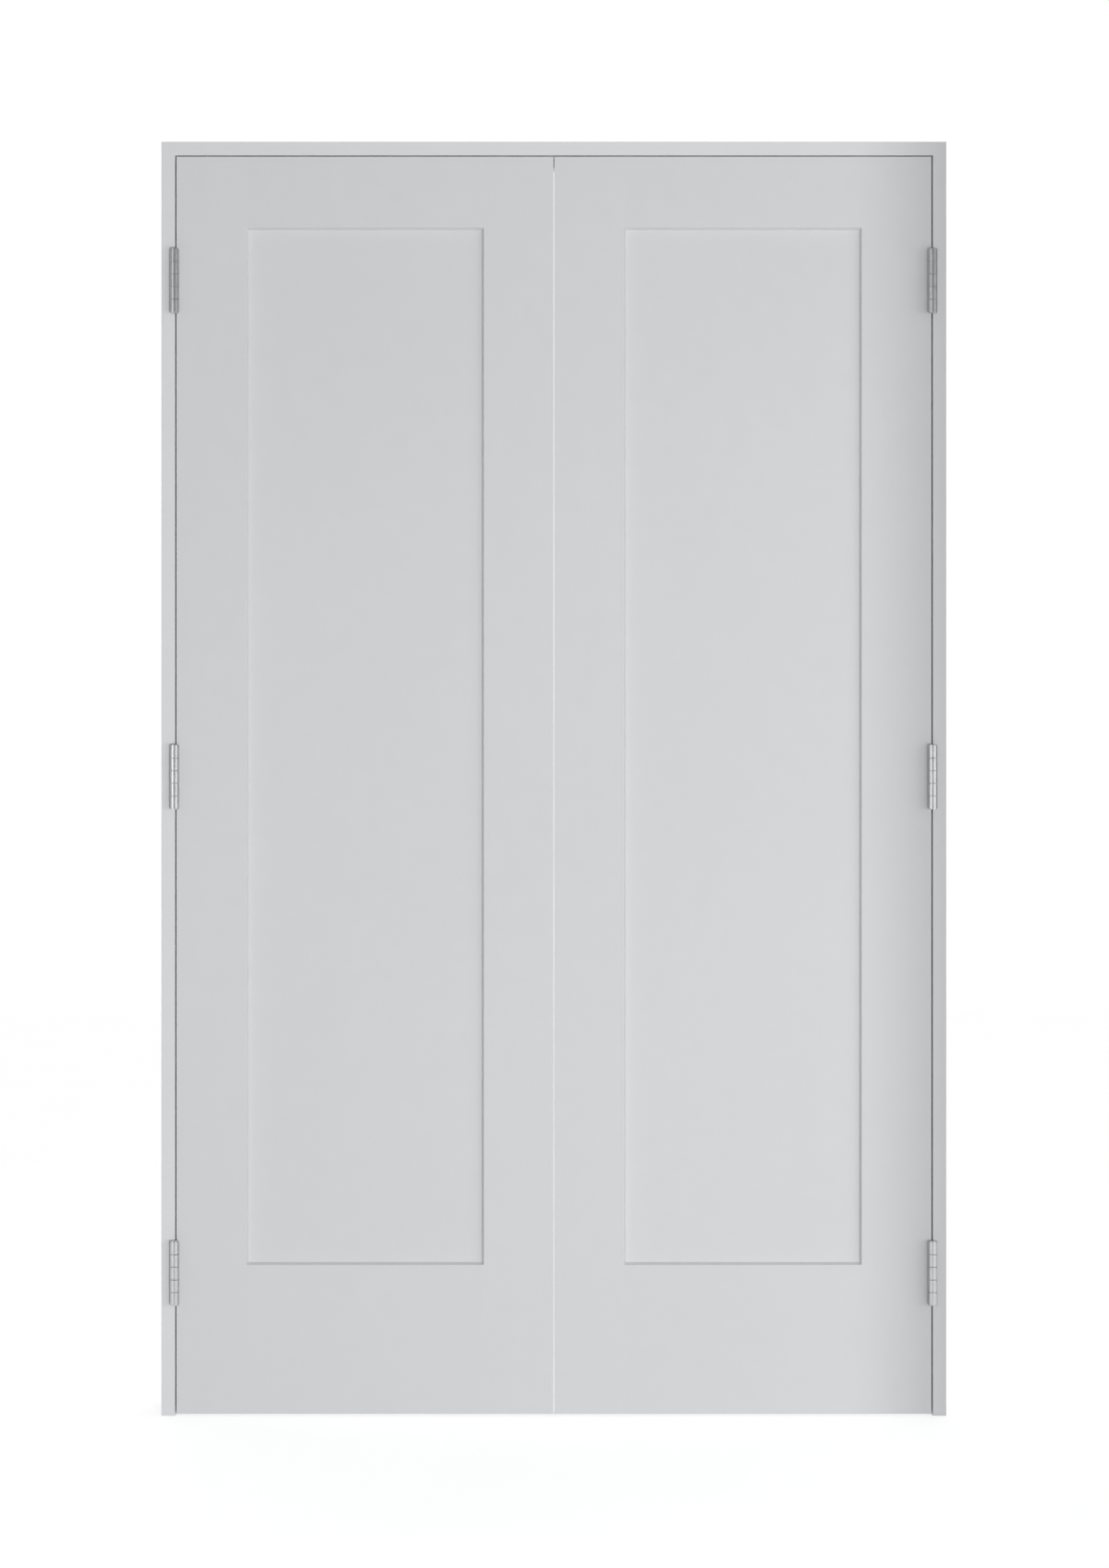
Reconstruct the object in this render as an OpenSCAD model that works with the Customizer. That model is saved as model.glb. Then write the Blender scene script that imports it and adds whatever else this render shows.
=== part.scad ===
// A pair of one-panel doors hung in their frame on six butt hinges, with a ball catch at the top of each.
// The hinge side is the front and faces -Y. Both doors swing out to the front.

/* [Doors] */
// Width of one door
door_w = 609.6; // [450:0.1:900]
// Height of the doors
door_h = 2032; // [1650:1:2450]
// Thickness of the doors
door_t = 44.5; // [37:0.5:54]
// Width of the upright stiles
stile_w = 115.8; // [95:0.1:150]
// Height of the top rail
top_rail_h = 117.5; // [95:0.5:180]
// Height of the bottom rail
bottom_rail_h = 244; // [150:0.5:320]
// Thickness of the flat panel
panel_t = 25; // [16:0.5:27]
// How far the edge round the panel slopes back, from the panel up to the face
recess_slope = 3; // [1:0.1:4]
// Height of the straight edge between the panel and that slope
recess_land = 0.8; // [0.5:0.1:2]
// Depth of the groove that holds the panel and the rail tongues
groove_d = 12; // [8:0.5:16]
// Room left past the panel and the tongues at the bottom of the groove
groove_play = 1.5; // [0.5:0.1:3]
// How much further the meeting edge is planed back at the rear than at the front
meeting_bevel = 2.6; // [1.5:0.1:4]
// Radius of the eased edges of the doors, the jambs and the stops
arris_r = 0.8; // [0.5:0.1:2]

/* [Joint dowels] */
// Radius of a dowel
dowel_r = 5; // [4:0.5:6]
// Length of a dowel
dowel_l = 80; // [60:1:90]
// Glue room round a dowel
dowel_play = 0.1; // [0.05:0.05:0.3]
// Room past each end of a dowel
dowel_end_play = 2; // [1:0.5:4]
// From the outer edge of a rail to its first dowel
dowel_outer_edge = 42; // [35:1:50]
// From the groove of a rail to its last dowel
dowel_inner_edge = 18; // [10:1:25]

/* [Gaps] */
// Gap between a door and the jambs
edge_gap = 2; // [2:0.1:4]
// Gap between the two doors at the front
meeting_gap = 1; // [1:0.1:5]
// Height of the doors above the feet of the jambs
floor_gap = 3; // [2:0.5:25]
// Gap between the doors and the stops behind them
stop_gap = 1.5; // [0.5:0.1:3]

/* [Frame] */
// Thickness of the jambs
jamb_t = 22; // [18:0.5:32]
// Depth of the jambs from front to back
jamb_d = 116; // [96:1:200]
// Depth of the step in each side jamb that seats the head jamb
head_step = 10; // [6:0.5:12]
// Thickness of the stops
stop_t = 11; // [9:0.5:16]
// Width of the stops
stop_w = 32; // [25:1:38]

/* [Hinges] */
// Height of a hinge
hinge_h = 101.6; // [84:0.1:127]
// Thickness of a leaf
leaf_t = 2.7; // [2.2:0.1:3.5]
// Radius of the two outer corners of a leaf
leaf_corner_r = 15.9; // [3:0.1:18]
// From the outer edge of a leaf to the back of the door
leaf_backset = 6.4; // [3:0.1:12]
// From the centre of the pin to the front of the door
pin_out = 12.7; // [10:0.1:18]
// Radius of the knuckles
knuckle_r = 7.25; // [6:0.05:8.7]
// Gap between one knuckle and the next
knuckle_gap = 0.3; // [0.2:0.05:0.6]
// Chamfer at both ends of each knuckle
knuckle_ease = 0.4; // [0.2:0.05:0.6]
// Radius of the pin
pin_r = 3.95; // [3.2:0.05:4.8]
// Running clearance round the pin
pin_play = 0.05; // [0.02:0.01:0.1]
// Room round a leaf in its mortise
mortise_play = 0.2; // [0.1:0.05:0.5]
// From the top of the door to the top of the top hinge
top_hinge_drop = 152; // [120:1:250]
// From the bottom of the door to the bottom of the bottom hinge
bottom_hinge_rise = 179; // [120:1:300]

/* [Screws and nails] */
// Radius of a hinge screw
hinge_screw_r = 2.3; // [1.8:0.1:2.8]
// Radius of a hinge screw's head
hinge_screw_head_r = 4.6; // [4:0.1:5.2]
// Length of a screw into a door
door_screw_l = 30; // [20:1:38]
// Wood left under the point of a screw or nail in a jamb
point_cover = 3; // [2:0.5:6]
// From a screw's centre to the edge of the leaf or of the wood
screw_edge = 9.6; // [8:0.1:11]
// From the middle of a hinge to the two screws next to it
screw_mid = 13; // [10:0.5:16]
// From an end of a hinge to the screw next to it
screw_end = 12; // [10:0.5:16]
// Room round a screw or nail in its hole
screw_play = 0.1; // [0.05:0.05:0.2]
// Radius of a strike screw
strike_screw_r = 1.75; // [1.4:0.05:2.1]
// Radius of a strike screw's head
strike_screw_head_r = 3.3; // [2.8:0.1:3.6]
// Radius of a screw that holds the head jamb
head_screw_r = 2.2; // [1.8:0.1:2.8]
// Radius of the head of a screw that holds the head jamb
head_screw_head_r = 4.3; // [3.6:0.1:5.2]
// Length of a screw that holds the head jamb
head_screw_l = 50; // [40:1:70]
// Radius of a stop nail
nail_r = 0.8; // [0.6:0.1:1.2]

/* [Ball catches] */
// From the meeting edge of the door to the centre of the catch
catch_inset = 38; // [30:1:45]
// Radius of the ball
ball_r = 7; // [5.8:0.1:8.4]
// Running clearance round the ball in the barrel
ball_play = 0.15; // [0.1:0.05:0.3]
// How far the rim of the barrel overlaps the ball
rim_hold = 0.2; // [0.15:0.05:0.4]
// Thickness of the rim of the barrel
rim_t = 0.6; // [0.4:0.1:1]
// Thickness of the barrel's wall and floor
barrel_wall = 2.5; // [1.5:0.1:4]
// Length of the barrel
barrel_l = 28; // [26:1:36]
// Width of the barrel's flange past its wall
flange_w = 2.7; // [1.5:0.1:4]
// Thickness of the flange
flange_t = 1.5; // [1:0.1:2.5]
// Radius of the spring wire
wire_r = 0.6; // [0.4:0.05:0.8]
// Length of the strike plate
strike_l = 57; // [50:0.5:70]
// Width of the strike plate
strike_w = 25.4; // [22:0.1:32]
// Thickness of the strike plate
strike_t = 1.6; // [1.2:0.1:2]
// Radius of the corners of the strike plate
strike_corner_r = 6.35; // [2:0.05:8]

/* [Hidden] */
$fn = 48;
SIDES = ["left", "right"];
LEVELS = ["top", "middle", "bottom"];
SIDE_PIECES = [
    "jamb", "stop", "jamb_screws", "strike",
    "hinge_stile", "meeting_stile", "top_rail", "bottom_rail", "panel", "dowels", "door_screws",
    "catch_barrel", "catch_spring", "catch_ball"
];
HINGE_PIECES = ["jamb_leaf", "door_leaf", "hinge_pin"];

primer = "gainsboro";
bare_wood = "burlywood";
nickel = "silver";
steel = "lightslategray";

// Everything below is laid out for the right side, where +X runs from the meeting edge to the jamb.
over = 1; // how far a cut runs past the face it opens
rounding_flats = 5; // the flats that make up each rounded edge

// Across the frame
meeting_x = meeting_gap / 2;
panel_x0 = meeting_x + stile_w;
door_edge_x = meeting_x + door_w;
panel_x1 = door_edge_x - stile_w;
pin_x = door_edge_x + edge_gap / 2;
jamb_x = door_edge_x + edge_gap;
frame_x = jamb_x + jamb_t;
catch_x = meeting_x + catch_inset;

// Front to back, with the middle of the whole depth at Y 0
front_y = (pin_out + knuckle_r - jamb_d) / 2;
middle_y = front_y + door_t / 2;
pin_y = front_y - pin_out;
stop_y = front_y + door_t + stop_gap;

// Up and down
door_z = floor_gap;
door_top = door_z + door_h;
head_z = door_top + edge_gap;
frame_top = head_z + jamb_t;
stop_top = head_z - stop_t;
panel_z0 = door_z + bottom_rail_h;
panel_z1 = door_top - top_rail_h;

// Doors
tongue_l = groove_d - groove_play;
recess_d = (door_t - panel_t) / 2;
slope_d = recess_d - recess_land;
recess_lean = atan(recess_slope / slope_d);
rim_w = (arris_r + (slope_d - arris_r) * sin(recess_lean)) / cos(recess_lean);
bevel_slope = meeting_bevel / door_t;
bevel_lean = sqrt(1 + pow(bevel_slope, 2));

// Hinges
leaf_w = pin_out + door_t - leaf_backset;
knuckles = 5;
knuckle_h = hinge_h / knuckles;
button_h = 1.6;
button_r = knuckle_r - 0.8;
button_round = 0.7;
plug_l = 8;
plug_room = 0.5;
top_hinge_z = door_top - top_hinge_drop - hinge_h / 2;
bottom_hinge_z = door_z + bottom_hinge_rise + hinge_h / 2;
HINGE_Z = [top_hinge_z, (top_hinge_z + bottom_hinge_z) / 2, bottom_hinge_z];
SCREW_SPOTS = [
    [pin_out + screw_edge, hinge_h / 2 - screw_end],
    [leaf_w - screw_edge, screw_mid],
    [leaf_w - screw_edge, -screw_mid],
    [pin_out + screw_edge, screw_end - hinge_h / 2]
];

// Screws and nails
head_rim = 0.4; // the straight edge round a countersunk head
point_l = 4; // the taper at a screw's point
jamb_screw_l = jamb_t - point_cover;
nail_l = stop_t + jamb_t - point_cover;
nail_end = 100;
side_nails = 6;
head_nails = 4;
head_screw_edge = 20;
head_screws_each = 3;

// Ball catches, from the top of the door
mouth_r = ball_r - rim_hold;
bore_r = ball_r + ball_play;
barrel_r = bore_r + barrel_wall;
ball_rest = 0.05;
ball_z = -rim_t - ball_rest - sqrt(pow(ball_r, 2) - pow(mouth_r, 2));
ball_reach = ball_z + ball_r - edge_gap;
strike_play = 1;
strike_hole_r = sqrt(pow(ball_r, 2) - pow(ball_r - ball_reach, 2)) + strike_play;
pocket_r = strike_hole_r + strike_play;
pocket_d = strike_t + 6;
strike_screw_x = strike_l / 2 - 8;
coil_r = bore_r - wire_r - 1;
spring_play = 0.1;
spring_z0 = barrel_wall - barrel_l + wire_r + spring_play;
spring_z1 = ball_z - sqrt(pow(ball_r + wire_r + spring_play, 2) - pow(coil_r, 2));
spring_turns = 7;
ring_sides = 8;
rings_a_turn = 16;

function evenly(low, high, count) = [for (i = [0 : count - 1]) low + (high - low) * i / (count - 1)];

TOP_DOWELS = evenly(panel_z1 + groove_d + dowel_inner_edge, door_top - dowel_outer_edge, 2);
BOTTOM_DOWELS = evenly(door_z + dowel_outer_edge, panel_z0 - groove_d - dowel_inner_edge, 3);
SIDE_NAILS = evenly(nail_end, stop_top - nail_end, side_nails);
HEAD_NAILS = evenly(nail_end - jamb_x, jamb_x - nail_end, head_nails);
HEAD_SCREWS = evenly(front_y + head_screw_edge, front_y + jamb_d - head_screw_edge, head_screws_each);

// ---- placing ----

// Turns what is drawn for the right side into the piece of either side
module on_side(side) {
    if (side == "left")
        mirror([1, 0, 0]) children();
    else
        children();
}

module at_hinge(z) {
    translate([pin_x, pin_y, z]) children();
}

module at_hinges() {
    for (z = HINGE_Z)
        at_hinge(z) children();
}

// The catches are alike and not mirrored
module at_catch(side) {
    translate([side == "left" ? -catch_x : catch_x, middle_y, door_top]) children();
}

// Faces a screw drawn point down so that it goes in along +X
module driven_x() {
    rotate([0, -90, 0]) children();
}

module at_leaf_screws() {
    for (spot = SCREW_SPOTS)
        translate([edge_gap / 2, spot[0], spot[1]]) driven_x() children();
}

module at_strike_screws(side) {
    for (way = [-1, 1])
        at_catch(side) translate([way * strike_screw_x, 0, edge_gap]) rotate([180, 0, 0]) children();
}

module at_head_screws() {
    for (y = HEAD_SCREWS)
        translate([frame_x, y, head_z + jamb_t / 2]) rotate([0, 90, 0]) children();
}

module at_side_nails() {
    for (z = SIDE_NAILS)
        translate([jamb_x - stop_t, stop_y + stop_w / 2, z]) driven_x() children();
}

module at_head_nails() {
    for (x = HEAD_NAILS)
        translate([x, stop_y + stop_w / 2, stop_top]) rotate([180, 0, 0]) children();
}

// ---- eased edges ----

// Rounds the edge of an opening from x0 to x1 and z0 to z1 in a face at y. The wood lies behind the face
// where way is 1, and in front of it where way is -1.
module eased_opening(x0, x1, z0, z1, y, way) {
    r = arris_r;
    difference() {
        translate([x0 - r, y - (way > 0 ? over : r), z0 - r]) cube([x1 - x0 + 2 * r, over + r, z1 - z0 + 2 * r]);
        for (x = [x0 - r, x1 + r])
            translate([x, y + way * r, z0 - 2 * r]) cylinder(r = r, h = z1 - z0 + 4 * r);
        for (z = [z0 - r, z1 + r])
            translate([x0 - 2 * r, y + way * r, z]) rotate([0, 90, 0]) cylinder(r = r, h = x1 - x0 + 4 * r);
    }
}

// Points round a rounded corner, from one direction to another
function rounding(centre, from, to) = [
    for (i = [0 : rounding_flats])
        let (a = from + (to - from) * i / rounding_flats)
            centre + arris_r * [cos(a), sin(a)]
];

module rounded_rectangle(x0, y0, x1, y1) {
    r = arris_r;
    polygon(concat(
        rounding([x0 + r, y0 + r], 180, 270), rounding([x1 - r, y0 + r], 270, 360),
        rounding([x1 - r, y1 - r], 0, 90), rounding([x0 + r, y1 - r], 90, 180)
    ));
}

// A section drawn from front to back and upwards, run across from x0 to x1
module run_across(x0, x1) {
    translate([x0, 0, 0]) rotate([90, 0, 90]) linear_extrude(x1 - x0) children();
}

// ---- screws and nails, drawn point down from a head at Z 0 ----

module screw_form(l, shank_r, head_r, room) {
    neck_z = -head_rim - (head_r - shank_r);
    rotate_extrude()
        polygon([
            [0, room], [head_r + room, room], [head_r + room, -head_rim], [shank_r + room, neck_z],
            [shank_r + room, -l + point_l], [0, -l - room]
        ]);
}

module screw(l, shank_r, head_r) {
    slot_w = shank_r * 0.45;
    slot_l = head_r * 1.15;
    slot_d = shank_r * 0.9;
    difference() {
        screw_form(l, shank_r, head_r, 0);
        for (turn = [0, 90])
            rotate([0, 0, turn]) translate([-slot_l / 2, -slot_w / 2, -slot_d]) cube([slot_l, slot_w, slot_d + over]);
    }
}

// The hole that a screw's head and shank need
module screw_hole(l, shank_r, head_r) {
    screw_form(l, shank_r, head_r, screw_play);
}

module nail(room) {
    translate([0, 0, -nail_l - room]) cylinder(r = nail_r + room, h = nail_l + room);
}

// ---- doors ----

// A beam across the joint between a stile and the rail at x
module dowel_rod(x, z, r, l) {
    translate([x - l / 2, middle_y, z]) rotate([0, 90, 0]) cylinder(r = r, h = l);
}

module dowel_holes() {
    for (x = [panel_x0, panel_x1], z = concat(TOP_DOWELS, BOTTOM_DOWELS))
        dowel_rod(x, z, dowel_r + dowel_play, dowel_l + 2 * dowel_end_play);
}

module dowels() {
    color(bare_wood)
        for (x = [panel_x0, panel_x1], z = concat(TOP_DOWELS, BOTTOM_DOWELS))
            dowel_rod(x, z, dowel_r, dowel_l);
}

// The groove cut into both stiles and both rails, as one block as thick as the panel
module groove_block() {
    translate([panel_x0 - groove_d, middle_y - panel_t / 2, panel_z0 - groove_d])
        cube([panel_x1 - panel_x0 + 2 * groove_d, panel_t, panel_z1 - panel_z0 + 2 * groove_d]);
}

// The same groove run on to both ends of the stiles
module stile_groove_block() {
    translate([panel_x0 - groove_d, middle_y - panel_t / 2, door_z - over])
        cube([panel_x1 - panel_x0 + 2 * groove_d, panel_t, door_h + 2 * over]);
}

// Where the rounding of the meeting edge is centred, at a distance from the front
function bevel_x(y) = meeting_x + bevel_slope * y + bevel_lean * arris_r;

// The door from above, with its meeting edge planed back and its corners rounded
module door_plan() {
    r = arris_r;
    centres = [
        [bevel_x(r), r], [door_edge_x - r, r], [door_edge_x - r, door_t - r], [bevel_x(door_t - r), door_t - r]
    ];
    translate([0, front_y])
        polygon(concat(
            rounding(centres[0], 180 - atan(bevel_slope), 270), rounding(centres[1], 270, 360),
            rounding(centres[2], 0, 90), rounding(centres[3], 90, 180 - atan(bevel_slope))
        ));
}

// The outside of the whole door, that each of its stiles and rails keeps within
module door_outside() {
    intersection() {
        translate([0, 0, door_z]) linear_extrude(door_h) door_plan();
        run_across(0, door_edge_x + over)
            rounded_rectangle(front_y, door_z, front_y + door_t, door_top);
    }
}

// A recess between two places, in section: across, then down into the door. Its edges slope, and meet the face
// in a rounding that touches both. Past the foot of the slope the cut runs on into the clear, over the panel.
module recess_section(from, to) {
    clear_w = recess_land / 2 * tan(recess_lean);
    clear_d = recess_d - recess_land / 2;
    polygon(concat(
        [[from + clear_w, clear_d], [to - clear_w, clear_d]],
        rounding([to + rim_w, arris_r], 180 + recess_lean, 270),
        [[to + rim_w, -over], [from - rim_w, -over]],
        rounding([from - rim_w, arris_r], 270, 360 - recess_lean)
    ));
}

// The recess over the front of the panel
module front_recess() {
    room = rim_w + over;
    translate([0, front_y, 0])
        intersection() {
            translate([0, 0, panel_z0 - room])
                linear_extrude(panel_z1 - panel_z0 + 2 * room)
                    recess_section(panel_x0, panel_x1);
            run_across(panel_x0 - room, panel_x1 + room)
                mirror([1, -1, 0])
                    recess_section(panel_z0, panel_z1);
        }
}

module recesses() {
    front_recess();
    translate([0, 2 * middle_y, 0]) mirror([0, 1, 0]) front_recess();
}

// A stile between x0 and x1
module stile(x0, x1) {
    difference() {
        intersection() {
            door_outside();
            translate([x0, front_y - over, door_z - over]) cube([x1 - x0, door_t + 2 * over, door_h + 2 * over]);
        }
        stile_groove_block();
        recesses();
        dowel_holes();
    }
}

module hinge_stile() {
    color(primer)
        difference() {
            stile(panel_x1, door_edge_x + over);
            at_hinges() mirror([1, 0, 0]) leaf_mortise();
            at_hinges() mirror([1, 0, 0]) at_leaf_screws()
                screw_hole(door_screw_l, hinge_screw_r, hinge_screw_head_r);
        }
}

module meeting_stile() {
    color(primer)
        difference() {
            stile(0, panel_x0);
            at_catch("right") catch_hole();
        }
}

// A rail between z0 and z1 with a tongue at each end, which stops clear of the panel's corner
module rail(z0, z1, tongue_z0, tongue_z1) {
    difference() {
        intersection() {
            door_outside();
            union() {
                translate([panel_x0, front_y - over, z0])
                    cube([panel_x1 - panel_x0, door_t + 2 * over, z1 - z0]);
                translate([panel_x0 - tongue_l, middle_y - panel_t / 2, tongue_z0])
                    cube([panel_x1 - panel_x0 + 2 * tongue_l, panel_t, tongue_z1 - tongue_z0]);
            }
        }
        groove_block();
        recesses();
        dowel_holes();
    }
}

module top_rail() {
    color(primer) rail(panel_z1, door_top, panel_z1 + groove_d, door_top);
}

module bottom_rail() {
    color(primer) rail(door_z, panel_z0, door_z, panel_z0 - groove_d);
}

module panel() {
    color(primer)
        translate([panel_x0 - tongue_l, middle_y - panel_t / 2, panel_z0 - tongue_l])
            cube([panel_x1 - panel_x0 + 2 * tongue_l, panel_t, panel_z1 - panel_z0 + 2 * tongue_l]);
}

// ---- frame ----

// The outside of the whole frame, that each jamb keeps within
module frame_outside() {
    back_y = front_y + jamb_d;
    intersection() {
        linear_extrude(frame_top) rounded_rectangle(-frame_x, front_y, frame_x, back_y);
        run_across(-frame_x, frame_x) rounded_rectangle(front_y, -jamb_t, back_y, frame_top);
    }
}

module eased_doorway() {
    eased_opening(-jamb_x, jamb_x, -jamb_t, head_z, front_y, 1);
    eased_opening(-jamb_x, jamb_x, -jamb_t, head_z, front_y + jamb_d, -1);
}

module side_jamb() {
    color(primer)
        difference() {
            intersection() {
                frame_outside();
                translate([jamb_x, front_y, 0]) cube([jamb_t, jamb_d, frame_top]);
            }
            eased_doorway();
            translate([jamb_x - over, front_y - over, head_z])
                cube([head_step + over, jamb_d + 2 * over, jamb_t + over]);
            at_hinges() leaf_mortise();
            at_hinges() at_leaf_screws() screw_hole(jamb_screw_l, hinge_screw_r, hinge_screw_head_r);
            at_head_screws() screw_hole(head_screw_l, head_screw_r, head_screw_head_r);
            at_side_nails() nail(screw_play);
        }
}

module head_jamb() {
    half = jamb_x + head_step;
    color(primer)
        difference() {
            intersection() {
                frame_outside();
                translate([-half, front_y, head_z]) cube([2 * half, jamb_d, jamb_t]);
            }
            eased_doorway();
            for (side = SIDES) {
                on_side(side) at_head_screws() screw_hole(head_screw_l, head_screw_r, head_screw_head_r);
                at_catch(side) strike_mortise();
                at_strike_screws(side) screw_hole(jamb_screw_l, strike_screw_r, strike_screw_head_r);
            }
            at_head_nails() nail(screw_play);
        }
}

module eased_stops() {
    half = jamb_x - stop_t;
    eased_opening(-half, half, -jamb_t, stop_top, stop_y, 1);
    eased_opening(-half, half, -jamb_t, stop_top, stop_y + stop_w, -1);
}

module side_stop() {
    color(primer)
        difference() {
            translate([jamb_x - stop_t, stop_y, 0]) cube([stop_t, stop_w, stop_top]);
            eased_stops();
            at_side_nails() nail(screw_play);
        }
}

module head_stop() {
    color(primer)
        difference() {
            translate([-jamb_x, stop_y, stop_top]) cube([2 * jamb_x, stop_w, stop_t]);
            eased_stops();
            at_head_nails() nail(screw_play);
        }
}

module head_screws() {
    color(steel)
        for (side = SIDES)
            on_side(side) at_head_screws() screw(head_screw_l, head_screw_r, head_screw_head_r);
}

module stop_nails() {
    color(steel) {
        for (side = SIDES)
            on_side(side) at_side_nails() nail(0);
        at_head_nails() nail(0);
    }
}

// ---- hinges, drawn round the pin with the middle of the hinge at Z 0 ----

// A leaf seen from its side: the pin's centre is at X 0 and the hinge's height runs along Y
module leaf_outline(room) {
    w = leaf_w + room;
    half = hinge_h / 2 + room;
    r = leaf_corner_r + room;
    translate([0, -half]) square([w - r, 2 * half]);
    translate([0, r - half]) square([w, 2 * (half - r)]);
    for (way = [-1, 1])
        translate([w - r, way * (half - r)]) circle(r);
}

// The outline stood up, from x0 out to the back of the leaf
module leaf_plate(x0, room) {
    run_across(x0, edge_gap / 2 + leaf_t) leaf_outline(room);
}

module leaf_mortise() {
    leaf_plate(0, mortise_play);
}

// Knuckles first, first + 2 and so on, short of their neighbours by half the gap
module knuckle_rolls(first, r, gap, ease) {
    for (i = [first : 2 : knuckles - 1]) {
        z0 = -hinge_h / 2 + i * knuckle_h + (i == 0 ? 0 : gap / 2);
        z1 = -hinge_h / 2 + (i + 1) * knuckle_h - (i == knuckles - 1 ? 0 : gap / 2);
        rotate_extrude()
            polygon([[0, z0], [r - ease, z0], [r, z0 + ease], [r, z1 - ease], [r - ease, z1], [0, z1]]);
    }
}

// The leaf on the jamb side. Its own knuckles start at the one named, and the other leaf has the rest.
module leaf(first, screw_l) {
    color(nickel)
        difference() {
            union() {
                difference() {
                    leaf_plate(edge_gap / 2, 0);
                    knuckle_rolls(1 - first, knuckle_r + knuckle_gap, -knuckle_gap, 0);
                }
                knuckle_rolls(first, knuckle_r, knuckle_gap, knuckle_ease);
            }
            translate([0, 0, -hinge_h]) cylinder(r = pin_r + pin_play, h = 2 * hinge_h);
            at_leaf_screws() screw_hole(screw_l, hinge_screw_r, hinge_screw_head_r);
        }
}

module jamb_leaf() {
    leaf(0, jamb_screw_l);
}

module door_leaf() {
    mirror([1, 0, 0]) leaf(1, door_screw_l);
}

// A button that stands on Z 0, with its upper edge rounded
module button() {
    rotate_extrude() {
        square([button_r - button_round, button_h]);
        square([button_r, button_h - button_round]);
        translate([button_r - button_round, button_h - button_round]) circle(button_round);
    }
}

module hinge_pin() {
    shaft_z = -hinge_h / 2 + plug_l + plug_room;
    color(nickel) {
        translate([0, 0, hinge_h / 2]) button();
        translate([0, 0, shaft_z]) cylinder(r = pin_r, h = hinge_h / 2 - shaft_z);
    }
}

module hinge_plug() {
    color(nickel) {
        translate([0, 0, -hinge_h / 2]) mirror([0, 0, 1]) button();
        translate([0, 0, -hinge_h / 2]) cylinder(r = pin_r, h = plug_l);
    }
}

module hinge_plugs() {
    for (side = SIDES)
        on_side(side) at_hinges() hinge_plug();
}

module leaf_screws(screw_l) {
    color(steel) at_leaf_screws() screw(screw_l, hinge_screw_r, hinge_screw_head_r);
}

module jamb_screws() {
    at_hinges() leaf_screws(jamb_screw_l);
}

module door_screws() {
    at_hinges() mirror([1, 0, 0]) leaf_screws(door_screw_l);
}

// ---- ball catches, drawn with the top of the door at Z 0 ----

module catch_form(room) {
    translate([0, 0, -barrel_l - room]) cylinder(r = barrel_r + room, h = barrel_l + room);
    translate([0, 0, -flange_t]) cylinder(r = barrel_r + flange_w + room, h = flange_t);
}

module catch_hole() {
    catch_form(screw_play);
    cylinder(r = barrel_r + flange_w + screw_play, h = over);
}

module catch_barrel() {
    color(nickel)
        difference() {
            catch_form(0);
            translate([0, 0, barrel_wall - barrel_l]) cylinder(r = bore_r, h = barrel_l - barrel_wall - rim_t);
            translate([0, 0, -rim_t - over]) cylinder(r = mouth_r, h = rim_t + 2 * over);
        }
}

module catch_ball() {
    color(steel) translate([0, 0, ball_z]) sphere(r = ball_r);
}

// Height along the spring after some turns: the first and last turns lie closed, and the rest share the climb
function coil_z(turn) =
    let (
        closed = 2 * wire_r + spring_play,
        climb = (spring_z1 - spring_z0 - 2 * closed) / (spring_turns - 2)
    )
    spring_z0 + closed * (min(turn, 1) + max(turn - spring_turns + 1, 0))
        + climb * max(min(turn, spring_turns - 1) - 1, 0);

function wire_ring(turn) = [
    for (i = [0 : ring_sides - 1])
        let (
            around = 360 * i / ring_sides,
            out = coil_r + wire_r * cos(around),
            along = 360 * turn
        )
        [out * cos(along), out * sin(along), coil_z(turn) + wire_r * sin(around)]
];

module catch_spring() {
    last = spring_turns * rings_a_turn;
    points = [for (k = [0 : last]) each wire_ring(k / rings_a_turn)];
    walls = [
        for (k = [0 : last - 1], i = [0 : ring_sides - 1])
            let (next = (i + 1) % ring_sides, near = k * ring_sides, far = near + ring_sides)
            [near + i, far + i, far + next, near + next]
    ];
    start_cap = [for (i = [0 : ring_sides - 1]) i];
    end_cap = [for (i = [ring_sides - 1 : -1 : 0]) last * ring_sides + i];
    color(steel) polyhedron(points, concat(walls, [start_cap, end_cap]), convexity = 10);
}

// The strike plate's face is level with the underside of the head jamb
module strike_outline(room) {
    r = strike_corner_r + room;
    x = strike_l / 2 + room;
    y = strike_w / 2 + room;
    square([2 * (x - r), 2 * y], center = true);
    square([2 * x, 2 * (y - r)], center = true);
    for (sx = [-1, 1], sy = [-1, 1])
        translate([sx * (x - r), sy * (y - r)]) circle(r);
}

module strike_mortise() {
    translate([0, 0, edge_gap - over]) linear_extrude(strike_t + over) strike_outline(mortise_play);
    translate([0, 0, edge_gap]) cylinder(r = pocket_r, h = pocket_d);
}

module strike(side) {
    color(nickel)
        difference() {
            at_catch(side) translate([0, 0, edge_gap]) linear_extrude(strike_t) strike_outline(0);
            at_catch(side) cylinder(r = strike_hole_r, h = 2 * edge_gap + strike_t);
            at_strike_screws(side) screw_hole(jamb_screw_l, strike_screw_r, strike_screw_head_r);
        }
}

module strike_screws() {
    color(steel)
        for (side = SIDES)
            at_strike_screws(side) screw(jamb_screw_l, strike_screw_r, strike_screw_head_r);
}

// ---- the whole ----

head_jamb();
head_stop();
head_screws();
stop_nails();
hinge_plugs();
strike_screws();

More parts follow.
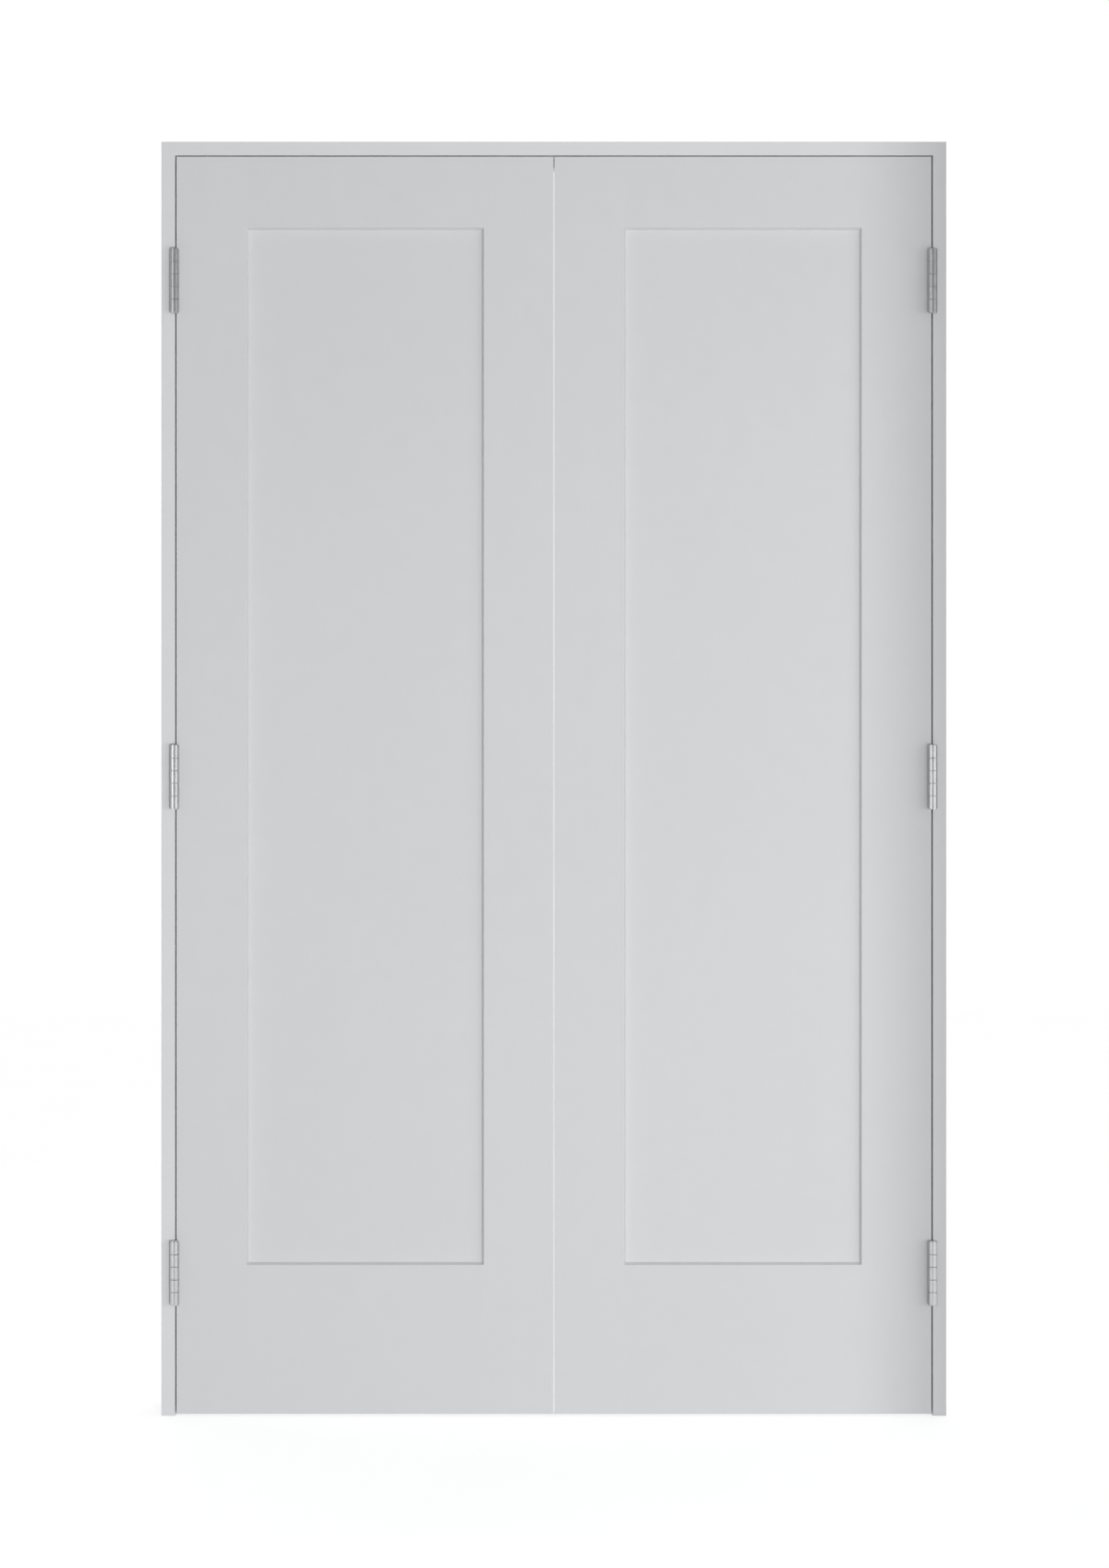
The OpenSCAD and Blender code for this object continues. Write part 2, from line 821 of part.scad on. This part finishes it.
for (side = SIDES) {
    on_side(side) side_jamb();
    on_side(side) side_stop();
    on_side(side) jamb_screws();
    on_side(side) hinge_stile();
    on_side(side) meeting_stile();
    on_side(side) top_rail();
    on_side(side) bottom_rail();
    on_side(side) panel();
    on_side(side) dowels();
    on_side(side) door_screws();
    strike(side);
    at_catch(side) catch_barrel();
    at_catch(side) catch_spring();
    at_catch(side) catch_ball();
}

for (side = SIDES, i = [0 : 2]) {
    hinge = str(side, "_", LEVELS[i]);
    on_side(side) at_hinge(HINGE_Z[i]) jamb_leaf();
    on_side(side) at_hinge(HINGE_Z[i]) door_leaf();
    on_side(side) at_hinge(HINGE_Z[i]) hinge_pin();
}
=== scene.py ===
"""A prehung pair of one-panel doors, primed and hung in their frame on six satin nickel hinges."""

import math

import bpy
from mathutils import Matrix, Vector


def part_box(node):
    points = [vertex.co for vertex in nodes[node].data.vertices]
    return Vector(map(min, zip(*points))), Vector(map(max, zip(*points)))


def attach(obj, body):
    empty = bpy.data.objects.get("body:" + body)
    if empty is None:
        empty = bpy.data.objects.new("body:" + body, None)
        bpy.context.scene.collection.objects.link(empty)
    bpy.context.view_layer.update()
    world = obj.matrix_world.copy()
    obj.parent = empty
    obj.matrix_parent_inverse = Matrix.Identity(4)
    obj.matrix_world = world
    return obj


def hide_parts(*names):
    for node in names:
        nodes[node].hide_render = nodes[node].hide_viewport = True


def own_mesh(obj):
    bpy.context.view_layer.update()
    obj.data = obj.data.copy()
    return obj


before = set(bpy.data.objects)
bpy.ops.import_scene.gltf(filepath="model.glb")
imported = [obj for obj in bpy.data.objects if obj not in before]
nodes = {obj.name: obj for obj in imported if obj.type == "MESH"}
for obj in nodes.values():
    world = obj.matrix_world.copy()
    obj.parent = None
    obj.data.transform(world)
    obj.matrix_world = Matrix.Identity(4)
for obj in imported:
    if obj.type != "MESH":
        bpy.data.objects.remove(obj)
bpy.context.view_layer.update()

# ---------------------------------------------------------------- places taken from the frame, in metres
MM = 0.001
FRONT_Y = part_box("left_jamb")[0].y
TOP_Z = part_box("head_jamb")[1].z
HALF_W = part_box("right_jamb")[1].x
MIDDLE_Z = TOP_Z / 2

# ---------------------------------------------------------------- colours, linear
DOOR_PRIMER = (0.748, 0.757, 0.775)
# The frame has the same white primer as the doors; its lighter tone here is painted bounce light on the jambs.
FRAME_PRIMER_WITH_PAINTED_BOUNCE = (0.806, 0.815, 0.833)
NICKEL = (0.52, 0.525, 0.54)
ZINC = (0.62, 0.63, 0.65)
NAIL_STEEL = (0.42, 0.42, 0.43)
SPRING_STEEL = (0.36, 0.36, 0.38)
BALL_STEEL = (0.66, 0.67, 0.69)
BEECH_DARK = (0.40, 0.245, 0.13)
BEECH_LIGHT = (0.60, 0.42, 0.26)


# ---------------------------------------------------------------- shader maths
class Value:
    """A number that varies over a surface. Arithmetic on it adds Math nodes to the finish it belongs to."""

    def __init__(self, finish, socket):
        self.finish = finish
        self.socket = socket

    def math(self, operation, *others, clamp=False):
        settings = {"operation": operation, "use_clamp": clamp}
        terms = dict(enumerate((self, *others)))
        return self.finish.add("ShaderNodeMath", settings, terms)

    def reflected(self, operation, other):
        return self.finish.add("ShaderNodeMath", {"operation": operation}, {0: other, 1: self})

    def __add__(self, other):
        return self.math("ADD", other)

    def __radd__(self, other):
        return self.reflected("ADD", other)

    def __sub__(self, other):
        return self.math("SUBTRACT", other)

    def __rsub__(self, other):
        return self.reflected("SUBTRACT", other)

    def __mul__(self, other):
        return self.math("MULTIPLY", other)

    def __rmul__(self, other):
        return self.reflected("MULTIPLY", other)

    def __truediv__(self, other):
        return self.math("DIVIDE", other)

    def __pow__(self, other):
        return self.math("POWER", other)

    def __abs__(self):
        return self.math("ABSOLUTE")

    def step(self, low, high):
        """0 below low and 1 above high, with a smooth rise between them."""
        settings = {"interpolation_type": "SMOOTHSTEP"}
        return self.finish.add("ShaderNodeMapRange", settings, {"Value": self, 1: low, 2: high})


class Finish:
    """The nodes of one finish, or of the room's light."""

    def __init__(self, tree):
        self.tree = tree
        tree.nodes.clear()

    def add(self, kind, settings=None, sockets=None, output=0):
        """Adds a node, with its settings first and then its sockets' values or links, and returns an output."""
        node = self.tree.nodes.new(kind)
        for name, setting in (settings or {}).items():
            setattr(node, name, setting)
        for name, value in (sockets or {}).items():
            if isinstance(value, Value):
                self.tree.links.new(value.socket, node.inputs[name])
            else:
                node.inputs[name].default_value = value
        return Value(self, node.outputs[output]) if node.outputs else None

    def place(self):
        """Where a point is on the object at rest, in metres."""
        return self.add("ShaderNodeTexCoord", output="Object")

    def stretched(self, place, scale):
        return self.add("ShaderNodeVectorMath", {"operation": "MULTIPLY"}, {0: place, 1: scale})

    def parts(self, vector):
        x = self.add("ShaderNodeSeparateXYZ", None, {0: vector})
        return [Value(self, socket) for socket in x.socket.node.outputs]

    def noise(self, place, per_metre, detail=2.0, roughness=0.5, distortion=0.0):
        sockets = {
            "Vector": place,
            "Scale": per_metre,
            "Detail": detail,
            "Roughness": roughness,
            "Distortion": distortion,
        }
        return self.add("ShaderNodeTexNoise", {"noise_dimensions": "3D"}, sockets)

    def cells(self, place, per_metre):
        return self.add("ShaderNodeTexVoronoi", {"feature": "F1"}, {"Vector": place, "Scale": per_metre})

    def blend(self, share, low, high):
        """The colour low where share is 0, and high where it is 1."""
        sockets = {0: share, 6: self.colour(low), 7: self.colour(high)}
        return self.add("ShaderNodeMix", {"data_type": "RGBA"}, sockets, output=2)

    def colour(self, colour):
        return colour if isinstance(colour, Value) else (*colour, 1.0)

    def relief(self, height, depth, under=None):
        """A bump whose height of 1 stands depth metres proud."""
        sockets = {"Strength": 1.0, "Distance": depth, "Height": height}
        if under:
            sockets["Normal"] = under
        return self.add("ShaderNodeBump", None, sockets)


def tinted(colour, share):
    return tuple(channel * share for channel in colour)


def surface(name, sockets_from):
    """A material whose Principled shader has the sockets that sockets_from works out on its nodes."""
    material = bpy.data.materials.new(name)
    material.use_nodes = True
    finish = Finish(material.node_tree)
    shader = finish.add("ShaderNodeBsdfPrincipled", None, sockets_from(finish))
    finish.add("ShaderNodeOutputMaterial", None, {"Surface": shader})
    return material


# ---------------------------------------------------------------- finishes
def primer(name, tone, along, seed):
    """Sprayed and rolled primer on a planed board. along is the way that the board's grain runs."""
    across = 420.0
    run = [across] * 3
    run["xyz".index(along)] = 9.0

    def sockets(f):
        place = f.add("ShaderNodeVectorMath", {"operation": "ADD"}, {0: f.place(), 1: (seed, 0.0, 0.0)})
        clouds = f.noise(place, 1.6, detail=3.0, roughness=0.55)
        patches = f.noise(place, 26.0, detail=3.0, roughness=0.6)
        grain = f.noise(f.stretched(place, run), 1.0, detail=2.0, roughness=0.6)
        stipple = f.noise(place, 620.0, detail=2.0, roughness=0.55)
        specks = f.cells(place, 190.0).step(0.0, 0.11)
        tone_share = (clouds * 0.5 + patches * 0.35 + grain * 0.15 - 0.5) * 1.4 + 0.5
        nib = 1.0 - specks
        height = stipple * 0.55 + grain * 0.35 + nib * 0.10
        return {
            "Base Color": f.blend(tone_share, tinted(tone, 0.965), tinted(tone, 1.035)),
            "Roughness": 0.44 + patches * 0.16 + stipple * 0.06,
            "Normal": f.relief(height, 0.055 * MM),
        }

    return surface(name, sockets)


def satin_metal(name, tone, along, roughness):
    """Metal rubbed down along one axis, with the fine scratches and the faint bloom of a satin plate."""
    run = [2600.0] * 3
    run["xyz".index(along)] = 60.0

    def sockets(f):
        place = f.place()
        scratches = f.noise(f.stretched(place, run), 1.0, detail=3.0, roughness=0.65)
        bloom = f.noise(place, 140.0, detail=3.0, roughness=0.55)
        return {
            "Base Color": f.blend(scratches * 0.5 + bloom * 0.5, tinted(tone, 0.82), tinted(tone, 1.12)),
            "Metallic": 1.0,
            "Roughness": roughness - 0.08 + scratches * 0.12 + bloom * 0.08,
            "Normal": f.relief(scratches, 0.008 * MM),
        }

    return surface(name, sockets)


def threaded_metal(name, tone, along, pitch):
    """Zinc plate on a wood screw, with its thread as rings along the shank."""

    def sockets(f):
        place = f.place()
        way = f.parts(place)["xyz".index(along)]
        bloom = f.noise(place, 900.0, detail=3.0, roughness=0.6)
        thread = (way * (2.0 * math.pi / pitch)).math("SINE") * 0.5 + 0.5
        return {
            "Base Color": f.blend(bloom, tinted(tone, 0.80), tinted(tone, 1.10)),
            "Metallic": 1.0,
            "Roughness": 0.26 + bloom * 0.18,
            "Normal": f.relief(thread ** 3.0, 0.05 * MM, f.relief(bloom, 0.01 * MM)),
        }

    return surface(name, sockets)


def plain_steel(name, tone, roughness, grit):
    """Drawn or ground steel with a fine grey grain."""

    def sockets(f):
        place = f.place()
        grain = f.noise(place, grit, detail=3.0, roughness=0.6)
        film = f.noise(place, grit / 9.0, detail=2.0)
        return {
            "Base Color": f.blend(film * 0.6 + grain * 0.4, tinted(tone, 0.78), tinted(tone, 1.12)),
            "Metallic": 1.0,
            "Roughness": roughness + grain * 0.12,
            "Normal": f.relief(grain, 0.006 * MM),
        }

    return surface(name, sockets)


def beech(name):
    """Dowel beech: straight grain along the rod, with the short brown flecks of its rays."""

    def sockets(f):
        place = f.place()
        grain = f.noise(f.stretched(place, (14.0, 700.0, 700.0)), 1.0, detail=4.0, roughness=0.6)
        flecks = f.noise(f.stretched(place, (160.0, 1900.0, 1900.0)), 1.0, detail=2.0).step(0.60, 0.72)
        tone = f.blend(grain, BEECH_DARK, BEECH_LIGHT)
        return {
            "Base Color": f.blend(flecks * 0.6, tone, tinted(BEECH_DARK, 0.6)),
            "Roughness": 0.55 + grain * 0.2,
            "Normal": f.relief(grain, 0.05 * MM),
        }

    return surface(name, sockets)


# ---------------------------------------------------------------- which piece has which finish
UPRIGHT_DOOR = primer("door_primer_upright", DOOR_PRIMER, "z", 0.0)
LEVEL_DOOR = primer("door_primer_level", DOOR_PRIMER, "x", 3.1)
# The frame's two finishes take the lighter frame primer tone, which is painted bounce light.
UPRIGHT_FRAME = primer("frame_primer_painted_bounce_upright", FRAME_PRIMER_WITH_PAINTED_BOUNCE, "z", 6.4)
LEVEL_FRAME = primer("frame_primer_painted_bounce_level", FRAME_PRIMER_WITH_PAINTED_BOUNCE, "x", 9.7)
NICKEL_LEAF = satin_metal("satin_nickel_leaf", NICKEL, "z", 0.36)
NICKEL_TURNED = satin_metal("satin_nickel_turned", NICKEL, "x", 0.30)
NICKEL_SCREW = threaded_metal("satin_nickel_screw", NICKEL, "x", 1.8 * MM)
STRIKE_SCREW = threaded_metal("satin_nickel_strike_screw", NICKEL, "z", 1.4 * MM)
JAMB_SCREW = threaded_metal("zinc_screw", ZINC, "z", 2.0 * MM)
NAIL = plain_steel("nail_steel", NAIL_STEEL, 0.38, 1500.0)
SPRING = plain_steel("spring_steel", SPRING_STEEL, 0.30, 2200.0)
BALL = plain_steel("ball_steel", BALL_STEEL, 0.12, 3000.0)
BEECH = beech("dowel_beech")

FINISH_OF = {
    "hinge_stile": UPRIGHT_DOOR,
    "meeting_stile": UPRIGHT_DOOR,
    "panel": UPRIGHT_DOOR,
    "top_rail": LEVEL_DOOR,
    "bottom_rail": LEVEL_DOOR,
    "jamb": UPRIGHT_FRAME,
    "stop": UPRIGHT_FRAME,
    "head_jamb": LEVEL_FRAME,
    "head_stop": LEVEL_FRAME,
    "jamb_leaf": NICKEL_LEAF,
    "door_leaf": NICKEL_LEAF,
    "strike": NICKEL_LEAF,
    "hinge_pin": NICKEL_TURNED,
    "hinge_plugs": NICKEL_TURNED,
    "catch_barrel": NICKEL_TURNED,
    "jamb_screws": NICKEL_SCREW,
    "door_screws": NICKEL_SCREW,
    "strike_screws": STRIKE_SCREW,
    "head_screws": JAMB_SCREW,
    "stop_nails": NAIL,
    "catch_spring": SPRING,
    "catch_ball": BALL,
    "dowels": BEECH,
}


def finish_for(node):
    """The finish of the longest piece name that the node's own name ends with."""
    fitting = [piece for piece in FINISH_OF if node == piece or node.endswith("_" + piece)]
    return FINISH_OF[max(fitting, key=len)]


def dress_pieces():
    for name, piece in nodes.items():
        piece.data.materials.clear()
        piece.data.materials.append(finish_for(name))


def catch_springs():
    """A pressed ball shortens its spring. Each spring here is a copy of its wire with a mesh of its own, hung
    on its door.
    """
    for side in ("left", "right"):
        wire = side + "_catch_spring"
        spring = bpy.data.objects.new(side + "_catch_coil", nodes[wire].data.copy())
        bpy.context.scene.collection.objects.link(spring)
        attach(spring, side + "_door")
        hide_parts(wire)
        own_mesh(spring)


dress_pieces()
catch_springs()


# ---------------------------------------------------------------- the studio
def studio_floor():
    """A pale floor, bright enough to melt into the white behind the doors. It adds no light to the paint."""
    size = 9.0
    glow = 0.57
    mesh = bpy.data.meshes.new("floor")
    corners = [(-size, -size, 0.0), (size, -size, 0.0), (size, size, 0.0), (-size, size, 0.0)]
    mesh.from_pydata(corners, [], [(0, 1, 2, 3)])
    floor = bpy.data.objects.new("floor", mesh)
    bpy.context.scene.collection.objects.link(floor)
    floor.location.z = -0.5 * MM

    def sockets(f):
        mottle = f.noise(f.place(), 3.0, detail=3.0)
        return {
            "Base Color": f.blend(mottle, (0.80, 0.80, 0.80), (0.84, 0.84, 0.84)),
            "Roughness": 0.8,
            "Specular IOR Level": 0.1,
            "Emission Color": (1.0, 1.0, 1.0, 1.0),
            "Emission Strength": glow,
        }

    mesh.materials.append(surface("pale_floor", sockets))
    floor.visible_diffuse = False


def studio_room():
    """White behind the doors. In front a dim room, brighter above, below and on the right."""
    white = 1.03
    world = bpy.data.worlds.new("studio")
    world.use_nodes = True
    bpy.context.scene.world = world
    f = Finish(world.node_tree)
    x, y, z = f.parts(f.add("ShaderNodeTexCoord", output="Generated"))
    facing = (0.0 - y).step(0.25, 0.95)
    right = x.step(0.0, 0.9)
    below = (0.0 - z).step(0.0, 0.8)
    above = z.step(0.0, 0.8)
    room = 0.155 + facing * 0.12 + right * 0.06 + below * 0.16 + above * 0.17
    behind = y.step(0.15, 0.75)
    strength = room * (1.0 - behind) + behind * white
    sky = f.add("ShaderNodeBackground", None, {"Color": (1.0, 1.0, 1.0, 1.0), "Strength": strength})
    f.add("ShaderNodeOutputWorld", None, {"Surface": sky})


def aim(thing, at):
    thing.rotation_euler = (at - thing.location).to_track_quat("-Z", "Y").to_euler()


def lamp(name, data, place, watts):
    data.energy = watts
    thing = bpy.data.objects.new(name, data)
    bpy.context.scene.collection.objects.link(thing)
    thing.location = place
    thing.visible_camera = False
    return thing


def softbox(name, place, at, width, height, watts):
    data = bpy.data.lights.new(name, "AREA")
    data.shape = "RECTANGLE"
    data.size = width
    data.size_y = height
    box = lamp(name, data, place, watts)
    aim(box, at)
    return box


def metal_card(name, place, at, width, height, watts):
    """A bright card that shows in the metal and lights no paint."""
    softbox(name, place, at, width, height, watts).visible_diffuse = False


def masked_fill(place, radius, watts, full_to, none_from):
    """A lamp square on to the doors, masked so that its light fades out between two places across them."""
    data = bpy.data.lights.new("front_fill", "SPOT")
    data.shadow_soft_size = radius
    data.spot_size = math.radians(60.0)
    data.use_nodes = True
    f = Finish(data.node_tree)
    x, y, z = f.parts(f.add("ShaderNodeTexCoord", output="Normal"))
    away = FRONT_Y - place.y
    across = x / abs(z)
    lit = 1.0 - across.step((full_to - place.x) / away, (none_from - place.x) / away)
    glow = f.add("ShaderNodeEmission", None, {"Strength": lit})
    f.add("ShaderNodeOutputLight", None, {"Surface": glow})
    fill = lamp("front_fill", data, place, watts)
    fill.rotation_euler = (math.radians(90.0), 0.0, 0.0)
    fill.visible_glossy = False


def camera():
    """Square on to the doors, a little below half their height."""
    distance = 5.0
    seen_height = 1.2306 * TOP_Z
    eye_x = 1.0 * MM
    eye_z = 0.4959 * TOP_Z
    long_side = 36.0
    data = bpy.data.cameras.new("camera")
    data.sensor_fit = "AUTO"
    data.sensor_width = long_side
    data.lens = long_side * distance / seen_height
    eye = bpy.data.objects.new("camera", data)
    bpy.context.scene.collection.objects.link(eye)
    eye.location = Vector((eye_x, FRONT_Y - distance, eye_z))
    eye.rotation_euler = (math.radians(90.0), 0.0, 0.0)
    bpy.context.scene.camera = eye


def studio_lamps():
    """A low key light from the right, a small fill, a card for the metal, and a front light."""
    doors_middle = Vector((0.0, FRONT_Y, MIDDLE_Z))
    softbox("right_softbox", Vector((6.4, -4.8, 0.8)), doors_middle, 4.8, 2.8, 100.0)
    softbox("front_softbox", Vector((1.6, -3.4, 0.5)), doors_middle, 0.8, 1.2, 12.0)
    metal_card("left_card", Vector((-4.5, -3.0, 1.0)), doors_middle, 4.0, 3.0, 90.0)
    masked_fill(Vector((0.9, -5.6, 0.5)), 0.12, 470.0, HALF_W - 0.06, HALF_W - 0.014)


camera()
studio_floor()
studio_room()
studio_lamps()
bpy.context.scene.view_settings.view_transform = "Standard"
